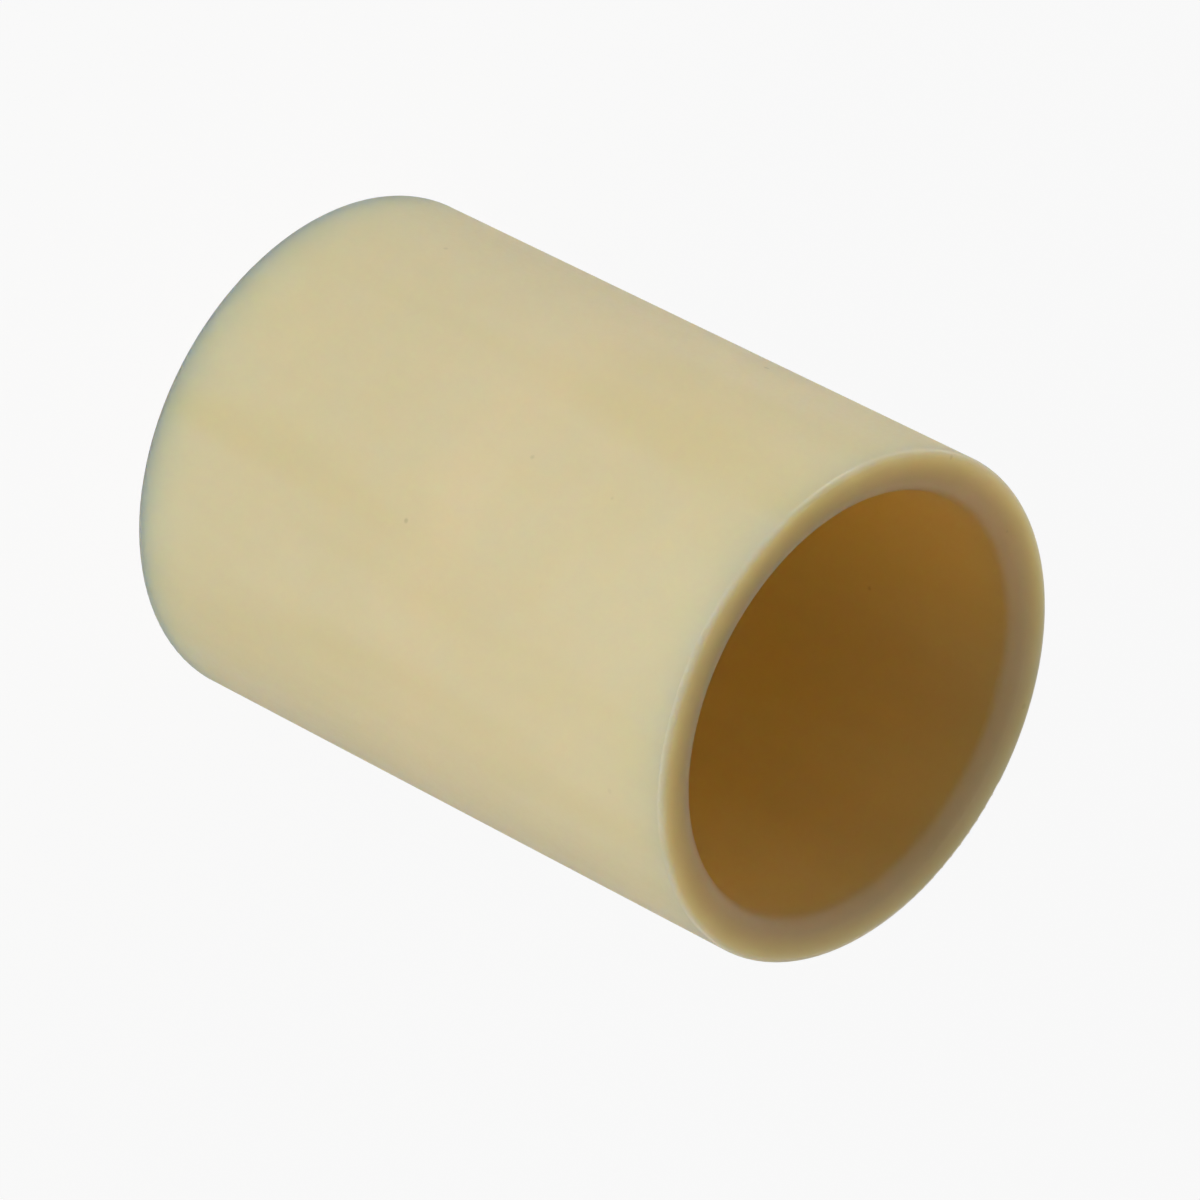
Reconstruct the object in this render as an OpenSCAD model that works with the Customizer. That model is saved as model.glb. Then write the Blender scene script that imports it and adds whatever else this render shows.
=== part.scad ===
// Socket coupling for CPVC water pipe, moulded in one piece. It stands on its lower end, with
// the bore upright on the Z axis and the lower end face at height zero. Sizes in millimetres.

/* [Pipe] */
// Outside diameter of the pipe that both sockets take
pipe_d = 28.58; // [26:0.01:31]
// Wall thickness of the pipe, which sets the height of the stop ring
pipe_wall = 2.6; // [1.5:0.1:4]

/* [Sockets] */
// Depth of each socket, from its end face to the stop ring
socket_depth = 22.86; // [14:0.01:40]
// Gap on diameter between the pipe and the mouth of the tapered socket
mouth_gap = 0.25; // [0.1:0.01:0.6]
// Squeeze on diameter between the pipe and the straight seat at the socket's foot
seat_squeeze = 0.11; // [0.02:0.01:0.3]
// Length of the straight seat, measured from the stop ring
seat_length = 4; // [2:0.5:8]
// Radius of the rounded lead-in at each mouth
lead_in_r = 1.1; // [0.4:0.1:2.4]

/* [Body] */
// Wall thickness at the mouths, before the lead-in is rounded
wall = 3; // [2.6:0.05:6]
// Radius on the outer edge of each end face
outer_edge_r = 0.4; // [0.1:0.05:0.8]

/* [Stop ring] */
// Width of the stop ring along the bore
stop_width = 2.6; // [1.5:0.1:8]
// Radius on the two edges of the stop ring
stop_edge_r = 0.4; // [0.1:0.05:0.7]

/* [Hidden] */
// Facets round a full turn
$fn = 192;
// How far a rounding cut reaches past the corner, into empty space
overcut = 0.5;

mouth_r = (pipe_d + mouth_gap) / 2;
seat_r = (pipe_d - seat_squeeze) / 2;
waterway_r = pipe_d / 2 - pipe_wall;
outer_r = mouth_r + wall;
length = 2 * socket_depth + stop_width;
taper_length = socket_depth - seat_length;
// Radius of the tapered wall where the lead-in rounding runs into it
lead_in_wall_r = mouth_r - (mouth_r - seat_r) * lead_in_r / taper_length;

// Height of a point at a depth from one end face; end 0 is the lower and end 1 the upper
function from_end(end, depth) = end == 0 ? depth : length - depth;

// The wall's section with square edges, each point as radius and height
module sharp_section() {
    polygon([
        [outer_r, from_end(0, 0)],
        [outer_r, from_end(1, 0)],
        [mouth_r, from_end(1, 0)],
        [seat_r, from_end(1, taper_length)],
        [seat_r, from_end(1, socket_depth)],
        [waterway_r, from_end(1, socket_depth)],
        [waterway_r, from_end(0, socket_depth)],
        [seat_r, from_end(0, socket_depth)],
        [seat_r, from_end(0, taper_length)],
        [mouth_r, from_end(0, 0)],
    ]);
}

// What a quarter round takes off a corner. The signs say on which side of the corner the
// material lies, outwards and upwards being positive.
module rounding(corner, side, r) {
    reach = r + overcut;
    centre = corner + r * side;
    difference() {
        translate(centre - reach * side / 2)
            square(reach, center = true);
        translate(centre)
            circle(r);
    }
}

// The three corners that are rounded at one end of the section
module end_roundings(end) {
    up = end == 0 ? 1 : -1;
    rounding([outer_r, from_end(end, 0)], [-1, up], outer_edge_r);
    rounding([lead_in_wall_r, from_end(end, 0)], [1, up], lead_in_r);
    rounding([waterway_r, from_end(end, socket_depth)], [1, up], stop_edge_r);
}

module coupling() {
    color([0.84, 0.78, 0.63])
        rotate_extrude()
            difference() {
                sharp_section();
                for (end = [0, 1])
                    end_roundings(end);
            }
}

coupling();
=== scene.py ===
import math

import bpy
from mathutils import Matrix, Vector


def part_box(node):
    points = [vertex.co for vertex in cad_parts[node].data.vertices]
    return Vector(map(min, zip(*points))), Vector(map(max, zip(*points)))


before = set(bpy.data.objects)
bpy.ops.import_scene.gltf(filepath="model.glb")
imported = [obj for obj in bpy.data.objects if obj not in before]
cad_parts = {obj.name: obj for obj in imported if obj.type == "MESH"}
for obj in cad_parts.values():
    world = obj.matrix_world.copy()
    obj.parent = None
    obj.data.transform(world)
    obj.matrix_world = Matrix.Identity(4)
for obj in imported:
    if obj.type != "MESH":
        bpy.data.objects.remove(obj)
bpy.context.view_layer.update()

MM = 0.001

# The coupling stands on height zero, so its highest point is its length
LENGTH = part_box("coupling")[1].z

# The camera looks down on the standing coupling, and is rolled so that the upper end
# points to the picture's lower right
AIM = Vector((1.208, 0, 25.91)) * MM
CAMERA_DISTANCE = 762.8 * MM
CAMERA_ELEVATION = math.radians(38.2)
CAMERA_ROLL = math.radians(116.8)
LENS_MM = 355.5

# The floor, and the share of it that is plain white where it is seen directly, and where
# the part's gloss mirrors it
FLOOR_WIDTH = 4
FLOOR_COLOUR = (0.8, 0.8, 0.8, 1)
FLOOR_WHITENESS = 0.93
FLOOR_WHITENESS_MIRRORED = 0.3

# Light from the room, and how far the part's gloss mirrors it as white instead
ROOM_LIGHT = 0.135
ROOM_MIRRORED = 0.75

# The strips that stand round the part: name, azimuth, watts. They end lower than the part
# does, so the end face and the bore get no direct light.
STRIPS = [
    ("front_strip", 0, 0.285),
    ("front_right_strip", 28, 0.25),
    ("right_strip", 68, 0.205),
    ("back_right_strip", 130, 0.115),
    ("back_strip", 180, 0.037),
    ("back_left_strip", -125, 0.093),
    ("left_strip", -73, 0.405),
]
STRIP_DISTANCE = 300 * MM
STRIP_HEIGHT = 22 * MM
STRIP_SIZE = (120 * MM, 36 * MM)

# The plastic's colour, the yellower tint of its flow marks, and its specks
CREAM = (0.77, 0.585, 0.358, 1)
FLOW_TINT = (0.716, 0.545, 0.29, 1)
SPECK = (0.42, 0.3, 0.15, 1)

# How far red, green and blue light travel in the plastic, as shares of the scale
TRANSLUCENCY_SCALE = 15 * MM
TRANSLUCENCY_RADIUS = (1.0, 0.62, 0.28)

# Patterns in the plastic. Noise: waves per metre, detail, stretch along each axis. Range:
# a low and a high value of the noise, and the tint or roughness that they give.
FLOW_MARKS = {"noise": (110, 3, (1, 1, 5)), "range": (0.45, 0.75, 0, 0.8)}
CLOUDS = {"noise": (380, 4, (1, 1, 1)), "range": (0.3, 0.8, 0, 0.22)}
ROUGH_PATCHES = {"noise": (160, 3, (1, 1, 1)), "range": (0.3, 0.7, 0.42, 0.52)}
ROUGH_GRAIN = {"noise": (2600, 2, (1, 1, 1)), "range": (0.2, 0.8, -0.04, 0.06)}

# Specks: cells per metre, the range over which a speck fades from its middle, and the range
# of a cell's random number that gives it a speck
SPECK_CELLS = 420
SPECK_FADE = (0.05, 0.11, 1, 0)
SPECK_CHOICE = (0.86, 0.98, 0, 0.5)

# Relief of the mould's skin: noise as above, strength, depth
SKIN_GRAIN = ((1900, 3, (1, 1, 1)), 0.25, 0.03 * MM)
SKIN_WAVES = ((90, 2, (1, 1, 3)), 0.3, 0.05 * MM)


def make_camera():
    tilt = Matrix.Rotation(math.pi / 2 - CAMERA_ELEVATION, 4, "X")
    roll = Matrix.Rotation(CAMERA_ROLL, 4, "Z")
    sight = tilt @ Vector((0, 0, -1))
    camera = bpy.data.objects.new("camera", bpy.data.cameras.new("camera"))
    camera.data.lens = LENS_MM
    camera.data.sensor_width = 36
    camera.data.clip_start = 0.01
    camera.data.clip_end = 50
    camera.matrix_world = Matrix.Translation(AIM - sight * CAMERA_DISTANCE) @ tilt @ roll
    bpy.context.scene.collection.objects.link(camera)
    bpy.context.scene.camera = camera


def arithmetic(nodes, links, operation, first, second):
    """A Math node's result. The first value is a socket, the second a socket or a number."""
    node = nodes.new("ShaderNodeMath")
    node.operation = operation
    links.new(first, node.inputs[0])
    if isinstance(second, (int, float)):
        node.inputs[1].default_value = second
    else:
        links.new(second, node.inputs[1])
    return node.outputs[0]


def in_range(nodes, links, value, low, high, to_low, to_high):
    """The value, with low to high spread smoothly over to_low to to_high."""
    node = nodes.new("ShaderNodeMapRange")
    node.interpolation_type = "SMOOTHSTEP"
    links.new(value, node.inputs["Value"])
    node.inputs["From Min"].default_value = low
    node.inputs["From Max"].default_value = high
    node.inputs["To Min"].default_value = to_low
    node.inputs["To Max"].default_value = to_high
    return node.outputs["Result"]


def seen_directly(nodes, links, mirrored):
    """1 for what the camera sees, straight or through glass, and less for what gloss mirrors."""
    path = nodes.new("ShaderNodeLightPath")
    straight = arithmetic(nodes, links, "MAXIMUM", path.outputs["Is Camera Ray"],
                          path.outputs["Is Transmission Ray"])
    gloss = arithmetic(nodes, links, "MULTIPLY", path.outputs["Is Glossy Ray"], mirrored)
    return arithmetic(nodes, links, "MAXIMUM", straight, gloss)


def make_floor():
    bpy.ops.object.select_all(action="DESELECT")
    bpy.ops.mesh.primitive_plane_add(size=FLOOR_WIDTH)
    floor = bpy.context.object
    floor.name = "floor"
    material = bpy.data.materials.new("pale_floor")
    material.use_nodes = True
    nodes, links = material.node_tree.nodes, material.node_tree.links
    nodes.clear()
    matt = nodes.new("ShaderNodeBsdfDiffuse")
    matt.inputs["Color"].default_value = FLOOR_COLOUR
    white = nodes.new("ShaderNodeEmission")
    seen = seen_directly(nodes, links, FLOOR_WHITENESS_MIRRORED / FLOOR_WHITENESS)
    whiteness = arithmetic(nodes, links, "MULTIPLY", seen, FLOOR_WHITENESS)
    mix = nodes.new("ShaderNodeMixShader")
    links.new(whiteness, mix.inputs[0])
    links.new(matt.outputs[0], mix.inputs[1])
    links.new(white.outputs[0], mix.inputs[2])
    out = nodes.new("ShaderNodeOutputMaterial")
    links.new(mix.outputs[0], out.inputs["Surface"])
    floor.data.materials.append(material)


def strip_lamp(name, azimuth, watts):
    """A soft strip that stands beside the part and faces it. Azimuth 0 is the camera's side."""
    lamp = bpy.data.objects.new(name, bpy.data.lights.new(name, "AREA"))
    lamp.data.shape = "RECTANGLE"
    lamp.data.size, lamp.data.size_y = STRIP_SIZE
    lamp.data.energy = watts
    lamp.visible_camera = False
    turn = math.radians(azimuth)
    lamp.location = (STRIP_DISTANCE * math.sin(turn), -STRIP_DISTANCE * math.cos(turn),
                     STRIP_HEIGHT)
    middle = Vector((0, 0, LENGTH / 2))
    lamp.rotation_mode = "QUATERNION"
    lamp.rotation_quaternion = (middle - lamp.location).to_track_quat("-Z", "Y")
    bpy.context.scene.collection.objects.link(lamp)


def make_light():
    world = bpy.data.worlds.new("studio")
    bpy.context.scene.world = world
    world.use_nodes = True
    nodes, links = world.node_tree.nodes, world.node_tree.links
    background = nodes["Background"]
    background.inputs["Color"].default_value = (1, 1, 1, 1)
    level = nodes.new("ShaderNodeMapRange")
    level.inputs["To Min"].default_value = ROOM_LIGHT
    level.inputs["To Max"].default_value = 1.0
    links.new(seen_directly(nodes, links, ROOM_MIRRORED), level.inputs["Value"])
    links.new(level.outputs["Result"], background.inputs["Strength"])
    for strip in STRIPS:
        strip_lamp(*strip)


def noise(nodes, links, point, scale, detail, stretch):
    """Noise on a point in metres, stretched by a factor per axis."""
    mapping = nodes.new("ShaderNodeMapping")
    mapping.inputs["Scale"].default_value = [1 / s for s in stretch]
    links.new(point, mapping.inputs["Vector"])
    texture = nodes.new("ShaderNodeTexNoise")
    texture.inputs["Scale"].default_value = scale
    texture.inputs["Detail"].default_value = detail
    links.new(mapping.outputs["Vector"], texture.inputs["Vector"])
    return texture.outputs["Fac"]


def pattern(nodes, links, point, kind):
    """One of the plastic's patterns, as the tint or roughness that it gives."""
    return in_range(nodes, links, noise(nodes, links, point, *kind["noise"]), *kind["range"])


def relief(nodes, links, point, noise_values, strength, depth):
    """A Bump node that raises the surface by noise."""
    bump = nodes.new("ShaderNodeBump")
    bump.inputs["Strength"].default_value = strength
    bump.inputs["Distance"].default_value = depth
    links.new(noise(nodes, links, point, *noise_values), bump.inputs["Height"])
    return bump


def tinted(nodes, links, amount, colour, tint):
    """The colour, turned to the tint by the amount. The colour may be a socket."""
    mix = nodes.new("ShaderNodeMix")
    mix.data_type = "RGBA"
    links.new(amount, mix.inputs["Factor"])
    if isinstance(colour, tuple):
        mix.inputs["A"].default_value = colour
    else:
        links.new(colour, mix.inputs["A"])
    mix.inputs["B"].default_value = tint
    return mix.outputs["Result"]


def make_cpvc():
    material = bpy.data.materials.new("cream_cpvc")
    material.use_nodes = True
    nodes, links = material.node_tree.nodes, material.node_tree.links
    point = nodes.new("ShaderNodeTexCoord").outputs["Object"]

    # Long soft flow marks along the bore, and small cloudy patches
    marks = arithmetic(nodes, links, "MAXIMUM", pattern(nodes, links, point, FLOW_MARKS),
                       pattern(nodes, links, point, CLOUDS))
    colour = tinted(nodes, links, marks, CREAM, FLOW_TINT)

    # A few faint specks in the resin
    cells = nodes.new("ShaderNodeTexVoronoi")
    cells.inputs["Scale"].default_value = SPECK_CELLS
    links.new(point, cells.inputs["Vector"])
    near = in_range(nodes, links, cells.outputs["Distance"], *SPECK_FADE)
    random_number = nodes.new("ShaderNodeSeparateColor")
    links.new(cells.outputs["Color"], random_number.inputs["Color"])
    rare = in_range(nodes, links, random_number.outputs["Red"], *SPECK_CHOICE)
    colour = tinted(nodes, links, arithmetic(nodes, links, "MULTIPLY", near, rare), colour, SPECK)

    # Satin gloss, uneven in patches and finely grained
    roughness = arithmetic(nodes, links, "ADD", pattern(nodes, links, point, ROUGH_PATCHES),
                           pattern(nodes, links, point, ROUGH_GRAIN))

    # The mould's skin: a fine grain over slow waves, which are the sink of the cooled wall
    grain = relief(nodes, links, point, *SKIN_GRAIN)
    waves = relief(nodes, links, point, *SKIN_WAVES)
    links.new(waves.outputs["Normal"], grain.inputs["Normal"])

    plastic = nodes["Principled BSDF"]
    links.new(colour, plastic.inputs["Base Color"])
    links.new(roughness, plastic.inputs["Roughness"])
    links.new(grain.outputs["Normal"], plastic.inputs["Normal"])
    plastic.inputs["Subsurface Weight"].default_value = 1.0
    plastic.inputs["Subsurface Radius"].default_value = TRANSLUCENCY_RADIUS
    plastic.inputs["Subsurface Scale"].default_value = TRANSLUCENCY_SCALE
    return material


bpy.context.scene.view_settings.view_transform = "Standard"
make_camera()
make_floor()
make_light()
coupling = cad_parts["coupling"]
coupling.data.materials.clear()
coupling.data.materials.append(make_cpvc())
